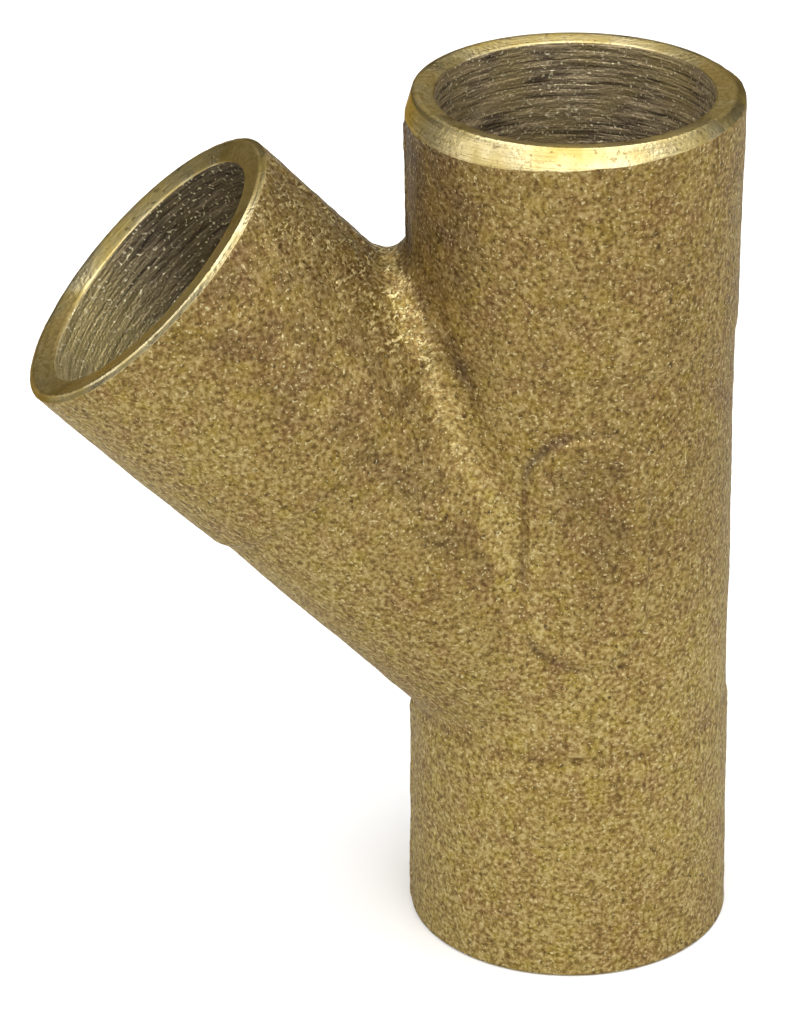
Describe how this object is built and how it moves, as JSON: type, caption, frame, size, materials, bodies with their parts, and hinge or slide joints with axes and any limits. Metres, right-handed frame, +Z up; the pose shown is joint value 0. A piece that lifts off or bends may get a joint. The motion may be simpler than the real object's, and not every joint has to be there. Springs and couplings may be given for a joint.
{
  "type": "45 degree wye fitting",
  "caption": "Cast bronze 45 degree wye with equal plain sockets for soldered tube on a straight run and one branch.",
  "frame": {"origin": "centre of the lower mouth, on the run's centre line", "axes": "+Z up along the run, branch leaning towards -X in the XZ plane, marking pad facing -Y"},
  "size_m": [0.0571, 0.027, 0.0743],
  "materials": {
    "cast_bronze": "sand-cast skin, machined rims and bores"
  },
  "bodies": {
    "root": {"wye_body": "cast_bronze"}
  },
  "joints": []
}
